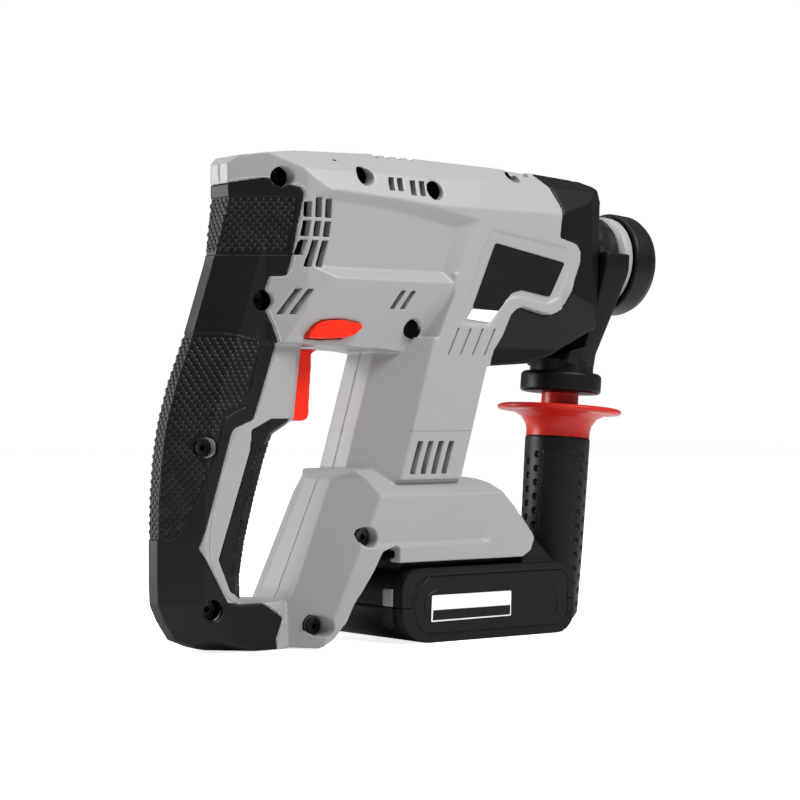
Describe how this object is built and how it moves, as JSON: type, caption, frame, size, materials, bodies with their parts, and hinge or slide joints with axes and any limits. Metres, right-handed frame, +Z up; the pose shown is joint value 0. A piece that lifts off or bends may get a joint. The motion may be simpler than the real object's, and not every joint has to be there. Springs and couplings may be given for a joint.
{
  "type": "rotary hammer",
  "caption": "Cordless L-shaped rotary hammer with a D-handle, slide battery, keyless drill chuck and swivelling side handle.",
  "frame": {"origin": "middle of the footprint of the whole tool, on the surface it stands on", "axes": "+X forward towards the chuck, +Y to the tool's left, +Z up"},
  "size_m": [0.296, 0.077, 0.2328],
  "materials": {
    "grey_shell": "satin",
    "black_rubber": "matte",
    "black_plastic": "satin",
    "steel": "satin",
    "clear_lens": "gloss",
    "board": "satin",
    "cast_light": "satin",
    "winding": "satin",
    "battery_plastic": "satin",
    "cell_wrap": "gloss",
    "tool_steel": "polished",
    "grey_metal": "satin",
    "sleeve_rubber": "satin",
    "red_plastic": "satin"
  },
  "bodies": {
    "tool": {"housing_right": "grey_shell", "housing_left": "grey_shell", "soft_grip": "black_rubber", "finger_pad": "black_rubber", "front_pad": "black_rubber", "gear_case": "black_plastic", "housing_screws": "steel", "lamp_lens": "clear_lens", "switch_module": "black_plastic", "control_board": "board", "terminal_block": "black_plastic", "bearing_bridge": "cast_light", "crank_bridge": "cast_light", "shaft_plate": "cast_light", "front_bearing": "steel", "pinion_bearing": "steel", "end_bearing": "steel", "stator": "winding", "battery_case": "battery_plastic", "battery_cover": "battery_plastic", "battery_trim_left": "battery_plastic", "battery_trim_right": "battery_plastic", "cells": "cell_wrap"},
    "spindle_set": {"spindle": "tool_steel", "spindle_gear": "tool_steel", "guide_ring": "grey_metal", "dust_cap": "black_rubber", "sleeve_spring": "steel"},
    "sleeve_body": {"locking_sleeve": "sleeve_rubber"},
    "ball_left": {"locking_ball_left": "tool_steel"},
    "ball_right": {"locking_ball_right": "tool_steel"},
    "beat_body": {"beat_piece": "tool_steel"},
    "striker_body": {"striker": "tool_steel"},
    "piston_body": {"piston": "cast_light"},
    "rod_body": {"connecting_rod": "cast_light"},
    "crank_body": {"crank": "tool_steel"},
    "cross_body": {"cross_shaft": "tool_steel"},
    "rotor_body": {"rotor": "steel", "fan": "black_plastic"},
    "trigger_body": {"trigger": "red_plastic"},
    "slider_body": {"direction_slider": "red_plastic"},
    "knob_body": {"mode_knob": "black_plastic"},
    "knob_button_body": {"knob_button": "red_plastic"},
    "latch_body": {"latch_button": "red_plastic"},
    "side_handle": {"clamp_saddle": "black_plastic", "clamp_strap": "steel", "clamp_bolt": "steel", "base_disc": "black_plastic"},
    "side_grip_body": {"guard": "red_plastic", "side_grip": "black_rubber"}
  },
  "joints": [
    {"name": "spindle_spin", "type": "hinge", "parent": "tool", "child": "spindle_set", "pos_m": [0.1013, 0, 0.1897], "axis": [0.9969, 0, -0.0785], "continuous": true},
    {"name": "sleeve_slide", "type": "slide", "parent": "spindle_set", "child": "sleeve_body", "axis": [0.9969, 0, -0.0785], "range_m": [-0.0055, 0], "stiffness_N_per_m": 900, "springref_m": 0.004},
    {"name": "ball_left_slide", "type": "slide", "parent": "spindle_set", "child": "ball_left", "axis": [0, -1, 0], "range_m": [0, 0.0011], "stiffness_N_per_m": 200},
    {"name": "ball_right_slide", "type": "slide", "parent": "spindle_set", "child": "ball_right", "axis": [0, 1, 0], "range_m": [0, 0.0011], "stiffness_N_per_m": 200},
    {"name": "beat_slide", "type": "slide", "parent": "spindle_set", "child": "beat_body", "axis": [0.9969, 0, -0.0785], "range_m": [-0.001, 0.005]},
    {"name": "striker_slide", "type": "slide", "parent": "spindle_set", "child": "striker_body", "axis": [0.9969, 0, -0.0785], "range_m": [-0.008, 0.0045]},
    {"name": "piston_slide", "type": "slide", "parent": "tool", "child": "piston_body", "axis": [0.9969, 0, -0.0785], "range_m": [-0.016, 0]},
    {"name": "rod_swing", "type": "hinge", "parent": "piston_body", "child": "rod_body", "pos_m": [0.01357, 0, 0.1966], "axis": [0.0785, 0, 0.9969], "range_deg": [-13.2, 13.2]},
    {"name": "crank_spin", "type": "hinge", "parent": "tool", "child": "crank_body", "pos_m": [-0.0293, 0, 0.19998], "axis": [0.0785, 0, 0.9969], "continuous": true},
    {"name": "cross_spin", "type": "hinge", "parent": "tool", "child": "cross_body", "pos_m": [0.02055, 0, 0.19606], "axis": [0.0785, 0, 0.9969], "continuous": true},
    {"name": "rotor_spin", "type": "hinge", "parent": "tool", "child": "rotor_body", "pos_m": [-0.00437, 0, 0.19802], "axis": [0.0785, 0, 0.9969], "continuous": true},
    {"name": "trigger_pull", "type": "slide", "parent": "tool", "child": "trigger_body", "axis": [-1, 0, 0], "range_m": [0, 0.005], "stiffness_N_per_m": 1500, "springref_m": -0.002},
    {"name": "direction_shift", "type": "slide", "parent": "tool", "child": "slider_body", "axis": [0, 1, 0], "range_m": [-0.003, 0.003]},
    {"name": "mode_turn", "type": "hinge", "parent": "tool", "child": "knob_body", "pos_m": [-0.012, 0.034, 0.188], "axis": [0, 1, 0], "range_deg": [-90, 90]},
    {"name": "mode_release", "type": "slide", "parent": "knob_body", "child": "knob_button_body", "axis": [0, -1, 0], "range_m": [0, 0.0011], "stiffness_N_per_m": 400, "springref_m": -0.0005},
    {"name": "latch_press", "type": "slide", "parent": "tool", "child": "latch_body", "axis": [-1, 0, 0], "range_m": [0, 0.002], "stiffness_N_per_m": 800, "springref_m": -0.001},
    {"name": "handle_swing", "type": "hinge", "parent": "tool", "child": "side_handle", "pos_m": [0.11027, 0, 0.18899], "axis": [0.9969, 0, -0.0785], "range_deg": [-180, 180]},
    {"name": "grip_turn", "type": "hinge", "parent": "side_handle", "child": "side_grip_body", "pos_m": [0.09495, 0, 0.08989], "axis": [0.0785, 0, 0.9969], "range_deg": [-360, 0]}
  ],
  "couplings": [
    {"joint": "cross_spin", "follows": "spindle_spin", "ratio": 2.8},
    {"joint": "rotor_spin", "follows": "spindle_spin", "ratio": -11.2},
    {"joint": "crank_spin", "follows": "spindle_spin", "ratio": 2.8}
  ]
}
